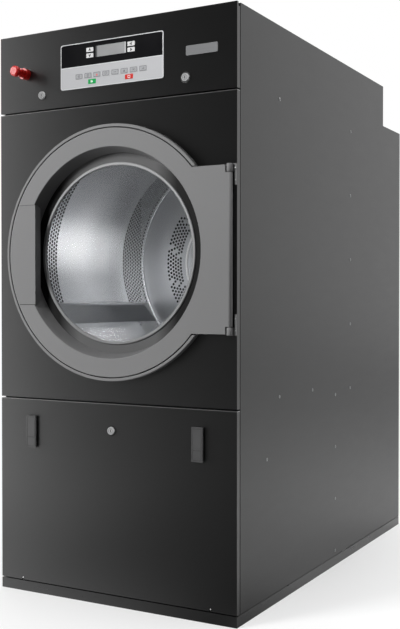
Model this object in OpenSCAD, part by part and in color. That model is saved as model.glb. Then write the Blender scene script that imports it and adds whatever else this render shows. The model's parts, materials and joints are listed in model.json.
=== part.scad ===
// Commercial tumble dryer: cabinet, round glass door, stainless drum, control panel and drive.
// The drawing frame has y = 0 on the front face; at_base() moves each piece so that the origin
// is on the floor at the middle of the machine. +X is right, +Y is back and +Z is up.

/* [Cabinet] */
// Width across the side panels
cabinet_w = 795; // [785:1:805]
// Height from floor to top panel
cabinet_h = 1651; // [1640:1:1665]
// Depth of the lower part, front face to rear cover
cabinet_d = 1390; // [1370:1:1400]
// Depth of the upper part, front face to the step
upper_d = 1190; // [1180:1:1200]
// Height of the ledge at the step
ledge_z = 1507; // [1495:1:1515]
// Height of the base plinth
plinth_h = 30; // [28:1:34]
// Thickness of the sheet steel
sheet_t = 1.5; // [1.2:0.1:1.8]

/* [Front panels] */
// Lower edge of the control fascia
fascia_z = 1425; // [1422:1:1430]
// Upper edge of the door panel
panel_top_z = 1420.5; // [1418:0.5:1421]
// Lower edge of the door panel
panel_low_z = 578.5; // [576:0.5:580]
// Upper edge of the service door
service_top_z = 574; // [570:1:575]
// Depth of the folded edges of the front panels
fold_d = 16.5; // [14:0.5:16.5]

/* [Door] */
// Height of the drum and door axis
axis_z = 1000; // [998:1:1002]
// Outer radius of the door ring
ring_r = 350; // [348:0.5:350]
// Radius of the recess at the front of the ring
recess_r = 297.5; // [296:0.5:298]
// Radius of the recess at the glass
recess_back_r = 285; // [283:0.5:286]
// How far the ring face stands in front of the cabinet
ring_proud = 17; // [16:0.5:17]
// Depth of the glass behind the front face
glass_y = 27; // [26:0.5:27]
// Radius of the glass pane
glass_r = 262; // [260:0.5:263]
// Distance of the hinge axis from the middle of the machine
hinge_x = 380; // [380:0.5:381]

/* [Drum] */
// Inner radius of the drum
drum_r = 368; // [360:1:370]
// Front end of the drum behind the front face
drum_front_y = 80; // [80:0.5:82]
// Back plate of the drum behind the front face
drum_back_y = 757; // [755:1:758]
// Radius that the lifter ridges reach in to
lifter_ridge_r = 306; // [304:1:312]
// Number of lifters
lifter_count = 3; // [3:1:3]

/* [Drive and air] */
// Radius of the drum pulley under the belt
drum_pulley_r = 200; // [190:1:205]
// Radius of the motor pulley under the belt
motor_pulley_r = 25; // [22:1:28]
// Outer radius of the exhaust spigot
spigot_r = 100; // [95:1:100]
// Length of the spigot behind the rear cover
spigot_out = 60; // [60:1:60]

/* [Controls] */
// Width of the keypad panel
keypad_w = 346; // [340:1:350]
// Height of the keypad panel
keypad_h = 129.4; // [128:0.2:131]
// Pitch of the program keys
key_pitch = 30.8; // [30:0.1:31]
// How far the keys stand out of the keypad panel
key_proud = 0.8; // [0.6:0.1:1]

/* [Hidden] */
$fn = 96;
half_w = cabinet_w / 2;
inner_w = half_w - sheet_t;
door_fit = 4.05;        // bore of the hinge barrel, for a 4 mm radius pin
door_pin_r = 4;
barrel_r = 8;
hinge_y = -9;
hinge_top_z = 1203;
hinge_low_z = 797;
flag_top_z = 1223;
flag_low_z = 777;
knuckle_h = 21;
trim_bore_r = 352.5;    // bore of the fixed ring round the door
trim_r = 361;
trim_low_y = -10;       // its front face under the flag plate
handle_h = 146;         // half height of the handle insert
handle_r = 347;
handle_x = -256;
post_in = 374;          // inner edge of the front posts
frame_y = 17;           // front face of the front frame
frame_back_y = 60;
bulkhead_y = 785;       // front face of the rear bulkhead
bulkhead_back_y = bulkhead_y + 2;
member_h = plinth_h;
lint_x = 345;
lint_front_y = 110;
lint_top_z = 600;
drawer_z = 415;
drawer_top_z = 500;
fan_x = -60;
fan_z = 255;
fan_y = 960;
fan_back_y = 1180;
scroll_r = 210;
inlet_r = 140;
spigot_x = 190;
spigot_z = 360;
duct_x = 320;
duct_low_z = 690;
duct_top_z = 1330;
duct_back_y = 905;
heater_x = 300;
heater_back_y = 1150;
heater_top_z = 1600;
pulley_y = 935;
pulley_back_y = 965;
motor_x = -250;
motor_z = 590;
belt_t = 5;
belt_gap = 0.6;
shaft_r = 30;
housing_bore_r = 47;
small_shaft_r = 12;
lifter_angle = 208.5;   // of the first lifter, anticlockwise from +X seen from the front
lifter_end_y = 585;     // where the ridge starts to slope down to the back plate
bead_y = 1383;          // bead on the exhaust tube, just inside the rear cover
run_gap = 0.05;         // radial clearance of a running fit
keypad_z = 1537.8;
keypad_proud = 2;
display_z = 1571.8;
display_w = 102.6;
display_h = 31.2;
key_gap = 0.3;
key_t = 2.8;
program_z = 1507;
program_w = 24.5;
program_h = 14.7;
arrow_w = 23.5;
arrow_h = 12.2;
start_w = 26;
start_h = 13;
lock_r = 11.6;
lock_barrel_r = 9;
upper_lock_x = 242;
upper_lock_z = 1467;
lower_lock_z = 498;
cam_w = 16;
stop_x = -300;
stop_z = 1534;
stop_out = 60;
stop_neck_r = 9;
pivot_x = 318;
pivot_y = 3;
pivot_z = 35;
pivot_r = 2;
flap_y = 18.5;
flap_z = cabinet_h - 3;
flap_x = 280;
flap_pin_r = 1.5;
pull_x = 281;
pull_z = 479;
pull_w = 34;
pull_h = 94;
pull_out = 8;           // how far the pull plate stands in front of the service door
pull_t = 1.8;
pocket_w = 28;          // finger pocket behind the pull plate
pocket_h = 77;
pocket_d = 14;
pocket_t = 1.5;
gland_x = -300;
gland_z = 1350;
anchor_x = 337.5;
anchor_y = 635;
anchor_r = 6.5;
screw_rows = [
    [271, 1441], [851, 1435], [849, 1219], [849, 1003], [849, 787], [849, 571],
    [271, 590], [518, 590], [713, 559], [713, 389], [713, 219], [713, 49], [186, 421]
];
arrow_keys = [[-70.5, 1579.4], [-70.5, 1563], [69, 1579.4], [69, 1563]];
function program_x(i) = (i - 3.5) * key_pitch;

// ---- helpers -------------------------------------------------------------------------------

module at_base() translate([0, -cabinet_d / 2, 0]) children();

// A box given by its low and high limit on each axis
module slab(x, y, z) translate([x[0], y[0], z[0]]) cube([x[1] - x[0], y[1] - y[0], z[1] - z[0]]);

// Its mirror image joins it on the other side of the machine
module both_sides() {
    children();
    mirror([1, 0, 0]) children();
}

// Things drawn along +Z lie along +Y, from the point given
module along_y(x, y, z) translate([x, y, z]) rotate([-90, 0, 0]) children();

// Things drawn along +Z lie along +X, from the point given
module along_x(x, y, z) translate([x, y, z]) rotate([0, 90, 0]) children();

module tube(r, bore_r, h) difference() {
    cylinder(r = r, h = h);
    translate([0, 0, -1]) cylinder(r = bore_r, h = h + 2);
}

// A section given as [radius, depth] points, turned about the drum axis
module turned(points) along_y(0, 0, axis_z) rotate_extrude($fn = 180) polygon(points);

module drum_disc(r, y) along_y(0, y[0], axis_z) cylinder(r = r, h = y[1] - y[0], $fn = 180);

// A flat plate with round corners, seen from the front
module rounded_plate(w, h, r, x, y, z) along_y(x, y[0], z) linear_extrude(y[1] - y[0]) {
    square([w - 2 * r, h], center = true);
    square([w, h - 2 * r], center = true);
    for (sx = [-1, 1], sz = [-1, 1])
        translate([sx * (w / 2 - r), sz * (h / 2 - r)]) circle(r = r, $fn = 32);
}

// A sheet-metal front panel with folded edges
module folded_panel(z, gap_top = 0) {
    slab([-half_w, half_w], [0, sheet_t], z);
    both_sides() slab([inner_w, half_w], [sheet_t, fold_d], z);
    slab([-inner_w, inner_w], [sheet_t, fold_d], [z[0], z[0] + sheet_t]);
    slab([-inner_w, inner_w], [sheet_t, fold_d - gap_top], [z[1] - sheet_t, z[1]]);
}

// ---- cabinet -------------------------------------------------------------------------------

module base_plinth() color("#39393b") {
    difference() {
        slab([-half_w, half_w], [0, cabinet_d], [0, plinth_h]);
        slab([2 - half_w, half_w - 2], [2, cabinet_d - 2], [2, plinth_h - 2]);
        slab([-357, 357], [40, cabinet_d - 40], [plinth_h - 3, plinth_h + 1]);
        for (sx = [-1, 1], sy = [-1, 1])
            translate([sx * anchor_x, cabinet_d / 2 + sy * anchor_y, -1]) cylinder(r = anchor_r, h = 4);
    }
    for (y = [100, 760]) slab([-390, 390], [y, y + 40], [2, plinth_h]);
    both_sides() {
        slab([pivot_x - 1.5, pivot_x + 1.5], [2.2, 9], [plinth_h, pivot_z]);
        along_x(pivot_x - 1.5, pivot_y + 2.2, pivot_z) cylinder(r = 3, h = 3);
        along_x(pivot_x - 10, pivot_y, pivot_z) cylinder(r = pivot_r, h = 20, $fn = 32);
    }
}

module side_panel() color("#4c4c4f") difference() {
    union() {
        translate([inner_w, 0, 0]) rotate([90, 0, 90]) linear_extrude(sheet_t) polygon([
            [20, plinth_h + 2], [cabinet_d, plinth_h + 2], [cabinet_d, ledge_z],
            [upper_d, ledge_z], [upper_d, cabinet_h], [20, cabinet_h]
        ]);
        // foot strip that stands on the plinth
        slab([inner_w - 3, inner_w], [64, 780], [plinth_h, plinth_h + 40]);
    }
    for (p = screw_rows) along_x(inner_w - 4, p[0], p[1]) cylinder(r = 2.5, h = sheet_t + 5, $fn = 24);
}

module side_panel_left() mirror([1, 0, 0]) side_panel();

module side_panel_right() side_panel();

module side_screws() color("#6a6a6d") both_sides() for (p = screw_rows) {
    along_x(half_w, p[0], p[1]) cylinder(r1 = 5, r2 = 4, h = 2, $fn = 32);
    along_x(inner_w - 7, p[0], p[1]) cylinder(r = 2.5, h = sheet_t + 7, $fn = 24);
}

module top_panel() color("#4c4c4f") {
    slab([-inner_w, inner_w], [23.2, upper_d], [cabinet_h - sheet_t, cabinet_h]);
    both_sides() slab([inner_w - sheet_t, inner_w], [70, 780], [cabinet_h - 22, cabinet_h - sheet_t]);
}

// One folded sheet: lower back, ledge and upper back
module rear_cover() color("#444447") {
    difference() {
        translate([-inner_w, 0, 0]) rotate([90, 0, 90]) linear_extrude(2 * inner_w) polygon([
            [cabinet_d - sheet_t, plinth_h], [cabinet_d, plinth_h], [cabinet_d, ledge_z],
            [upper_d, ledge_z], [upper_d, cabinet_h - sheet_t],
            [upper_d - sheet_t, cabinet_h - sheet_t],
            [upper_d - sheet_t, ledge_z - sheet_t], [cabinet_d - sheet_t, ledge_z - sheet_t]
        ]);
        // air intake and motor cooling slots
        for (x = [-150, 70, 220], i = [0:11])
            slab([x, x + 110], [cabinet_d - 3, cabinet_d + 1], [1150 + i * 20, 1157 + i * 20]);
        for (x = [-330, -190], i = [0:7])
            slab([x, x + 110], [cabinet_d - 3, cabinet_d + 1], [620 + i * 20, 627 + i * 20]);
        along_y(spigot_x, cabinet_d - 3, spigot_z) cylinder(r = spigot_r + 2, h = 5);
        along_y(gland_x, cabinet_d - 3, gland_z) cylinder(r = 12.5, h = 5);
    }
}

module door_panel() color("#2c2c2e") {
    difference() {
        union() {
            folded_panel([panel_low_z, panel_top_z]);
            both_sides() slab([inner_w, half_w], [fold_d, frame_y], [panel_low_z, panel_top_z]);
        }
        drum_disc(300, [-1, 3]);
    }
    drum_tube(301.5, 300, [sheet_t, 12]);
}

module drum_tube(r, bore_r, y) along_y(0, y[0], axis_z) tube(r, bore_r, y[1] - y[0], $fn = 180);

// Flush with the door ring, and lower where the flag plate passes over it
module door_trim_ring() color("#88888a") difference() {
    turned([
        [trim_bore_r, 0], [trim_bore_r, 1 - ring_proud], [trim_bore_r + 1, -ring_proud],
        [trim_r - 1.5, -ring_proud], [trim_r, 1.5 - ring_proud], [trim_r, 0]
    ]);
    slab([221, 371], [-ring_proud - 1, trim_low_y], [flag_low_z - 3, flag_top_z + 3]);
}

// ---- inner frame ---------------------------------------------------------------------------

module front_bulkhead() color("#9a9a98") {
    both_sides() {
        slab([post_in, inner_w], [frame_y, frame_y + 2], [plinth_h, cabinet_h - sheet_t]);
        slab([inner_w - 2, inner_w], [frame_y + 2, frame_back_y], [plinth_h, cabinet_h - sheet_t]);
        // fascia hinge: knuckle with a fixed pin
        slab([flap_x - 15, flap_x + 15], [frame_y, frame_y + 2], [1640, flap_z]);
        along_x(flap_x - 15, flap_y, flap_z) cylinder(r = 3, h = 30, $fn = 32);
        along_x(flap_x - 35, flap_y, flap_z) cylinder(r = flap_pin_r, h = 70, $fn = 32);
    }
    for (z = [[545, 590], [1405, 1445], [1620, 1644]])
        slab([-post_in, post_in], [frame_y, frame_y + 2], z);
    difference() {
        slab([-inner_w, inner_w], [frame_back_y, frame_back_y + 2], [plinth_h, 1640]);
        drum_disc(295, [frame_back_y - 1, frame_back_y + 3]);
        slab([-360, 360], [frame_back_y - 1, frame_back_y + 3], [70, 540]);
    }
    drum_tube(295, 293, [42, 86]);
}

module rear_bulkhead() color("#9a9a98") {
    difference() {
        slab([-inner_w + 2, inner_w - 2], [bulkhead_y, bulkhead_back_y], [plinth_h, 1640]);
        drum_disc(285, [bulkhead_y - 1, bulkhead_back_y + 1]);
        along_y(fan_x, bulkhead_y - 1, fan_z) cylinder(r = inlet_r, h = 4);
    }
    both_sides() slab([inner_w - 2, inner_w], [bulkhead_y, bulkhead_y + 30], [plinth_h, 1640]);
}

module control_box() color("#b9b9b4") difference() {
    slab([-300, 300], [frame_back_y + 2, 220], [1450, 1610]);
    slab([-298, 298], [frame_back_y + 4, 218], [1452, 1608]);
}

module power_gland() color("#1c1c1c") along_y(gland_x, cabinet_d - 12, gland_z) difference() {
    union() {
        cylinder(r = 18, h = 10.5, $fn = 6);
        cylinder(r = 12.5, h = 14);
        translate([0, 0, 12]) cylinder(r = 17, h = 8, $fn = 6);
        translate([0, 0, 20]) cylinder(r1 = 15, r2 = 12, h = 14);
    }
    translate([0, 0, -1]) cylinder(r = 8, h = 40);
}

// ---- door ----------------------------------------------------------------------------------

module hinge_bracket() {
    // z = 0 is the end of the barrel; the bracket is above it
    difference() {
        union() {
            translate([hinge_x, hinge_y, 2]) cylinder(r = barrel_r, h = knuckle_h);
            slab([hinge_x, half_w], [-3, 0], [2, 2 + knuckle_h]);
        }
        translate([hinge_x, hinge_y, 1]) cylinder(r = door_pin_r, h = 30);
    }
    slab([391, half_w], [-3, 0], [-33, 2]);
    translate([hinge_x, hinge_y, -22]) cylinder(r = door_pin_r, h = 22 + knuckle_h);
}

module hinge_brackets() color("#868688") {
    translate([0, 0, hinge_top_z]) hinge_bracket();
    translate([0, 0, hinge_low_z]) mirror([0, 0, 1]) hinge_bracket();
}

module ring_plan(r, x, y, z) intersection() {
    drum_disc(r, y);
    slab(x, y, z);
}

module door_ring() color("#858587") {
    difference() {
        union() {
            turned([
                [ring_r, -4], [ring_r, 1 - ring_proud], [ring_r - 1, -ring_proud],
                [recess_r + 1, -ring_proud], [recess_r, 1 - ring_proud],
                [recess_back_r, glass_y], [256, glass_y], [256, glass_y + 2],
                [recess_back_r + 1.6, glass_y + 2], [recess_r + 1.5, 2 - ring_proud],
                [ring_r - 2, 2 - ring_proud], [ring_r - 2, -4]
            ]);
            // flag plate out to the hinge
            difference() {
                union() {
                    slab([221, 371], [-ring_proud, 2.5 - ring_proud], [flag_low_z, flag_top_z]);
                    slab([371, hinge_x], [-ring_proud, 2.5 - ring_proud], [hinge_low_z, hinge_top_z]);
                    for (z = [flag_low_z, flag_top_z - 2])
                        slab([300, 371], [2.5 - ring_proud, -4], [z, z + 2]);
                }
                drum_disc(recess_r + 1, [-ring_proud - 1, 0]);
            }
            translate([hinge_x, hinge_y, hinge_low_z]) cylinder(r = barrel_r, h = hinge_top_z - hinge_low_z);
        }
        // window for the handle insert
        ring_plan(handle_r, [-360, -200], [-ring_proud - 1, 2.5 - ring_proud],
                  [axis_z - handle_h, axis_z + handle_h]);
        translate([hinge_x, hinge_y, hinge_low_z - 1])
            cylinder(r = door_fit, h = hinge_top_z - hinge_low_z + 2);
    }
}

module door_handle() color("#7f7f81") {
    ring_plan(handle_r, [-360, handle_x], [-ring_proud, 2 - ring_proud],
              [axis_z - handle_h, axis_z + handle_h]);
    // return lip that the fingers pull on
    intersection() {
        slab([handle_x - 2, handle_x], [2 - ring_proud, 8], [axis_z - handle_h, axis_z + handle_h]);
        turned([[0, -ring_proud], [recess_r - 0.1, -ring_proud],
                [recess_back_r - 0.1, glass_y], [0, glass_y]]);
    }
}

module door_glass() color("#9fb0ba", 0.4) drum_disc(glass_r, [glass_y + 2, glass_y + 6]);

module glass_trim_ring() color("#c9c9cc") turned([
    [250, glass_y + 2], [250, glass_y - 2.5], [251.5, glass_y - 4], [257.5, glass_y - 4],
    [259, glass_y - 2.5], [259, glass_y], [256, glass_y], [256, glass_y + 2]
]);

module door_gasket() color("#1d1d1e") turned([
    [254, glass_y + 6], [254, glass_y + 9.5], [290, glass_y + 9.5], [290, glass_y + 14.6],
    [296, glass_y + 14.6], [296, glass_y + 6]
]);

// ---- drum ----------------------------------------------------------------------------------

module drum_shell() color("#c4c6c9") turned([
    [300, drum_front_y], [drum_r + 1.5, drum_front_y], [drum_r + 1.5, drum_back_y + 2],
    [drum_r, drum_back_y + 2], [drum_r, drum_front_y + 1.5], [300, drum_front_y + 1.5]
]);

module drum_rear_plate() color("#b6b8bb") turned([
    [shaft_r, drum_back_y - 6], [176, drum_back_y - 6], [182, drum_back_y], [drum_r, drum_back_y],
    [drum_r, drum_back_y + 2], [shaft_r, drum_back_y + 2]
]);

module lifters() color("#8f9194") intersection() {
    drum_disc(drum_r, [drum_front_y + 1.5, drum_back_y]);
    for (i = [0:lifter_count - 1]) difference() {
        lifter(lifter_angle + i * 360 / lifter_count, 0);
        lifter(lifter_angle + i * 360 / lifter_count, 2);
    }
}

// A prism along the drum with a sloped rear end; an inset makes the hollow inside it
module lifter(angle, inset) difference() {
    along_y(0, drum_front_y + 1.5 + inset, axis_z) rotate(-angle)
        linear_extrude(drum_back_y - drum_front_y) lifter_section(inset);
    turned([
        [0, lifter_end_y - inset], [lifter_ridge_r - 6, lifter_end_y - inset],
        [drum_r + 6, drum_back_y - 1.5 * inset], [drum_r + 6, drum_back_y + 40], [0, drum_back_y + 40]
    ]);
}

// Rounded triangle whose base is on the drum wall, drawn with the ridge towards the axis
module lifter_section(inset) {
    ridge = lifter_ridge_r + 2 * inset;
    polygon([
        [drum_r + 2 + inset * 2, -40 + inset * 1.2], [ridge + 5, -6 + inset / 2], [ridge, -2], [ridge, 2],
        [ridge + 5, 6 - inset / 2], [drum_r + 2 + inset * 2, 40 - inset * 1.2]
    ]);
}

module drum_shaft() color("#8a8c8f") {
    along_y(0, drum_back_y + 2, axis_z) tube(110, shaft_r, 12);
    drum_disc(shaft_r, [drum_back_y - 6, pulley_back_y + 5]);
}

module drum_pulley() color("#77797c") along_y(0, pulley_y, axis_z) difference() {
    union() {
        cylinder(r = drum_pulley_r, h = pulley_back_y - pulley_y);
        for (z = [0, pulley_back_y - pulley_y - 3])
            translate([0, 0, z]) cylinder(r = drum_pulley_r + 6, h = 3);
    }
    translate([0, 0, -1]) cylinder(r = shaft_r, h = 40);
    for (i = [0:4]) rotate(i * 72) translate([115, 0, -1]) cylinder(r = 48, h = 40);
}

module bearing_housing() color("#5d6164") {
    along_y(0, bulkhead_back_y + 10, axis_z) tube(70, housing_bore_r, 131);
    difference() {
        for (a = [45:90:315])
            along_y(0, bulkhead_back_y, axis_z) rotate(a) translate([60, -25, 0]) cube([270, 50, 30]);
        drum_disc(69, [bulkhead_back_y - 1, bulkhead_back_y + 40]);
    }
}

module drum_bearings() color("#d0d2d4")
    for (y = [bulkhead_back_y + 16, bulkhead_back_y + 110])
        along_y(0, y, axis_z) tube(housing_bore_r, shaft_r + run_gap, 24);

// ---- drive ---------------------------------------------------------------------------------

module drive_motor() color("#4f5b66") difference() {
    union() {
        along_y(motor_x, bulkhead_back_y, motor_z) cylinder(r = 95, h = 8);
        along_y(motor_x, bulkhead_back_y + 8, motor_z) cylinder(r = 80, h = 125);
        for (a = [0:20:340])
            along_y(motor_x, bulkhead_back_y + 16, motor_z)
                rotate(a) translate([78, -1.5, 0]) cube([9, 3, 100]);
    }
    along_y(motor_x, bulkhead_back_y + 100, motor_z) cylinder(r = small_shaft_r + run_gap, h = 40);
}

module motor_pulley() color("#77797c") along_y(motor_x, pulley_y, motor_z) {
    cylinder(r = motor_pulley_r, h = pulley_back_y - pulley_y);
    for (z = [0, pulley_back_y - pulley_y - 3])
        translate([0, 0, z]) cylinder(r = motor_pulley_r + 6, h = 3);
    translate([0, 0, bulkhead_back_y + 102 - pulley_y]) cylinder(r = small_shaft_r, h = 85);
}

module belt_outline(offset_r) hull() {
    circle(r = drum_pulley_r + offset_r, $fn = 120);
    translate([motor_x, axis_z - motor_z]) circle(r = motor_pulley_r + offset_r, $fn = 48);
}

module drive_belt() color("#1a1a1a") along_y(0, pulley_y + 4, axis_z)
    linear_extrude(pulley_back_y - pulley_y - 8) difference() {
        belt_outline(belt_gap + belt_t);
        belt_outline(belt_gap);
    }

// ---- air path ------------------------------------------------------------------------------

module heater_box() color("#a9aaa8") difference() {
    union() {
        slab([-duct_x, duct_x], [bulkhead_back_y, duct_back_y], [duct_low_z, duct_top_z]);
        slab([-heater_x, heater_x], [bulkhead_back_y, heater_back_y], [duct_top_z, heater_top_z]);
    }
    slab([1.5 - duct_x, duct_x - 1.5], [bulkhead_back_y - 1, duct_back_y - 1.5],
         [duct_low_z + 1.5, duct_top_z - 1.5]);
    slab([1.5 - heater_x, heater_x - 1.5], [bulkhead_back_y + 1.5, heater_back_y + 1],
         [duct_top_z + 1.5, heater_top_z - 1.5]);
    slab([1.5 - heater_x, heater_x - 1.5], [bulkhead_back_y + 1.5, duct_back_y - 1.5],
         [duct_top_z - 5, duct_top_z + 5]);
    drum_disc(72, [duct_back_y - 5, duct_back_y + 5]);
}

module heater_elements() color("#7a5c48")
    for (y = [960, 1020, 1080], z = [1400, 1460, 1520])
        along_x(1.5 - heater_x, y, z) cylinder(r = 6, h = 2 * heater_x - 3, $fn = 32);

module lint_housing() color("#a9aaa8") {
    difference() {
        slab([-lint_x, lint_x], [lint_front_y, bulkhead_y], [member_h, lint_top_z]);
        slab([1.5 - lint_x, lint_x - 1.5], [lint_front_y + 1.5, bulkhead_y - 1.5],
             [member_h + 1.5, lint_top_z + 1]);
        slab([-312, 312], [lint_front_y - 1, lint_front_y + 3], [drawer_z - 2, drawer_top_z + 5]);
        along_y(fan_x, bulkhead_y - 3, fan_z) cylinder(r = inlet_r, h = 5);
    }
    both_sides() slab([298, lint_x - 1.5], [lint_front_y + 1.5, bulkhead_y - 1.5],
                      [drawer_z - 4, drawer_z - 0.5]);
}

module lint_drawer() color("#b8b8b4") {
    difference() {
        slab([-308, 308], [100, 740], [drawer_z, drawer_top_z]);
        slab([-305, 305], [103, 737], [drawer_z + 2, drawer_top_z + 1]);
        for (i = [0:3], j = [0:4])
            slab([-298 + i * 151, -155 + i * 151], [110 + j * 125, 226 + j * 125],
                 [drawer_z - 1, drawer_z + 3]);
    }
    slab([-320, 320], [97, 100], [drawer_z - 8, drawer_top_z + 8]);
    // grip bar
    slab([-90, 90], [80, 83], [448, 470]);
    both_sides() slab([87, 90], [83, 97], [448, 470]);
}

module fan_housing() color("#8d8f90") {
    difference() {
        union() {
            along_y(fan_x, fan_y, fan_z) cylinder(r = scroll_r, h = fan_back_y - fan_y);
            slab([fan_x, 300], [fan_y, fan_back_y], [fan_z, fan_z + scroll_r]);
            along_y(spigot_x, fan_back_y - 1, spigot_z)
                cylinder(r = spigot_r, h = cabinet_d + spigot_out - fan_back_y + 1);
            along_y(spigot_x, bead_y, spigot_z) cylinder(r = spigot_r + 4, h = 4);
            along_y(fan_x, bulkhead_back_y, fan_z) cylinder(r = inlet_r + 2, h = fan_y - bulkhead_back_y + 1);
            for (x = [fan_x - 120, fan_x + 100]) slab([x, x + 20], [fan_y + 20, fan_back_y - 20], [2, 100]);
        }
        along_y(fan_x, fan_y + 2, fan_z) cylinder(r = scroll_r - 2, h = fan_back_y - fan_y - 4);
        slab([fan_x, 298], [fan_y + 2, fan_back_y - 2], [fan_z, fan_z + scroll_r - 2]);
        along_y(spigot_x, fan_back_y - 3, spigot_z)
            cylinder(r = spigot_r - 2, h = cabinet_d + spigot_out - fan_back_y + 5);
        along_y(fan_x, bulkhead_back_y - 1, fan_z) cylinder(r = inlet_r, h = fan_y - bulkhead_back_y + 5);
        along_y(fan_x, fan_back_y - 5, fan_z) cylinder(r = 20, h = 10);
    }
}

module fan_motor() color("#4f5b66") difference() {
    union() {
        along_y(fan_x, fan_back_y, fan_z) cylinder(r = 95, h = 8);
        along_y(fan_x, fan_back_y + 8, fan_z) cylinder(r = 80, h = 140);
        for (a = [0:20:340])
            along_y(fan_x, fan_back_y + 16, fan_z) rotate(a) translate([78, -1.5, 0]) cube([9, 3, 110]);
    }
    along_y(fan_x, fan_back_y - 1, fan_z) cylinder(r = small_shaft_r + run_gap, h = 30);
}

module fan_impeller() color("#9fa1a3") along_y(fan_x, fan_y + 20, fan_z) {
    translate([0, 0, 158]) cylinder(r = 185, h = 3);
    difference() {
        cylinder(r = 185, h = 3);
        translate([0, 0, -1]) cylinder(r = 140, h = 5);
    }
    for (i = [0:15]) rotate(i * 22.5) translate([142, -1.5, 3]) cube([40, 3, 155]);
    translate([0, 0, 110]) cylinder(r = 28, h = 48);
    translate([0, 0, 158]) cylinder(r = small_shaft_r, h = 65);
}

// ---- control panel -------------------------------------------------------------------------

module control_fascia() color("#2c2c2e") {
    difference() {
        union() {
            folded_panel([fascia_z, cabinet_h], gap_top = 3);
            both_sides() for (x = [flap_x - 34, flap_x + 16]) {
                slab([x, x + 18], [fold_d - 4, flap_y], [cabinet_h - sheet_t, cabinet_h]);
                along_x(x, flap_y, flap_z) cylinder(r = 3, h = 18, $fn = 32);
            }
        }
        slab([-165.5, 165.5], [-1, 2], [1480.5, 1595.5]);
        // room for the top corners to swing past the side panels
        both_sides() slab([inner_w - 1, half_w + 1], [8, fold_d + 1], [cabinet_h - 11, cabinet_h + 1]);
        both_sides() along_y(upper_lock_x, -1, upper_lock_z)
            cylinder(r = lock_barrel_r + run_gap, h = 3);
        along_y(stop_x, -1, stop_z) cylinder(r = 11, h = 3);
        both_sides() along_x(flap_x - 40, flap_y, flap_z)
            cylinder(r = flap_pin_r + run_gap, h = 80, $fn = 32);
    }
}

module keypad_panel() color("#c3c4c6") difference() {
    union() {
        rounded_plate(keypad_w, keypad_h, 6, 0, [-keypad_proud, 0], keypad_z);
        slab([-164, 164], [0, 14], [1482, 1594]);
    }
    for (p = arrow_keys) key_pocket(p[0], p[1], arrow_w, arrow_h);
    for (i = [0:7]) key_pocket(program_x(i), program_z, program_w, program_h);
    key_pocket(-63, 1489, start_w, start_h);
    key_pocket(62, 1489, start_w, start_h);
    slab([-display_w / 2, display_w / 2], [-keypad_proud - 1, 0],
         [display_z - display_h / 2, display_z + display_h / 2]);
}

module key_pocket(x, z, w, h)
    rounded_plate(w + 2 * key_gap, h + 2 * key_gap, 1.3, x, [-keypad_proud - 1, 1.5], z);

module key(x, z, w, h)
    rounded_plate(w, h, 1, x, [-keypad_proud - key_proud, key_t - keypad_proud - key_proud], z);

module key_up() color("#e8e8e8") key(arrow_keys[0][0], arrow_keys[0][1], arrow_w, arrow_h);
module key_down() color("#e8e8e8") key(arrow_keys[1][0], arrow_keys[1][1], arrow_w, arrow_h);
module key_left() color("#e8e8e8") key(arrow_keys[2][0], arrow_keys[2][1], arrow_w, arrow_h);
module key_right() color("#e8e8e8") key(arrow_keys[3][0], arrow_keys[3][1], arrow_w, arrow_h);
module program_key(i) color("#c6c7c9") key(program_x(i - 1), program_z, program_w, program_h);
module start_key() color("#1f9a53") key(-63, 1489, start_w, start_h);
module stop_key() color("#d83a36") key(62, 1489, start_w, start_h);

module display_window() color("#8f9293")
    slab([-display_w / 2, display_w / 2], [-keypad_proud - 0.2, 0],
         [display_z - display_h / 2, display_z + display_h / 2]);

module name_plate() color("#a8a9ab") rounded_plate(96, 26, 3, 292, [-2, 0], 1538);

module e_stop_base() color("#a3241d") along_y(stop_x, 0, stop_z) difference() {
    union() {
        translate([0, 0, -16]) cylinder(r = 16, h = 16);
        cylinder(r = 11, h = 20);
        translate([0, 0, sheet_t]) cylinder(r = 16, h = 5, $fn = 6);
        translate([-14, -14, 14]) cube([28, 28, 34]);
    }
    translate([0, 0, -17]) cylinder(r = stop_neck_r + run_gap, h = 18);
}

module e_stop_button() color("#c8281f") along_y(stop_x, -stop_out, stop_z) {
    rotate_extrude() polygon([[0, 0], [11, 0], [14.5, 2.5], [15.5, 6], [15.5, 13], [13, 16], [0, 16]]);
    translate([0, 0, 16]) cylinder(r = stop_neck_r, h = 36);
    translate([0, 0, 29]) cylinder(r = 12.5, h = 7);
}

// Head, barrel and cam tongue; the tongue points to +X when unlocked
module cam_lock(x, z, cam_l) {
    along_y(x, 0, z) {
        difference() {
            translate([0, 0, -5]) cylinder(r1 = lock_r - 1, r2 = lock_r, h = 4.7);
            translate([-1, -4, -6]) cube([2, 8, 4]);
        }
        translate([0, 0, -0.3]) cylinder(r = lock_barrel_r, h = 23);
    }
    slab([x, x + cam_l], [19.6, 22.6], [z - cam_w / 2, z + cam_w / 2]);
}

module upper_lock_left() color("#b9babc") cam_lock(-upper_lock_x, upper_lock_z, 36);
module upper_lock_right() color("#b9babc") cam_lock(upper_lock_x, upper_lock_z, 36);
module lower_lock() color("#b9babc") cam_lock(0, lower_lock_z, 62);

// ---- service door --------------------------------------------------------------------------

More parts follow.
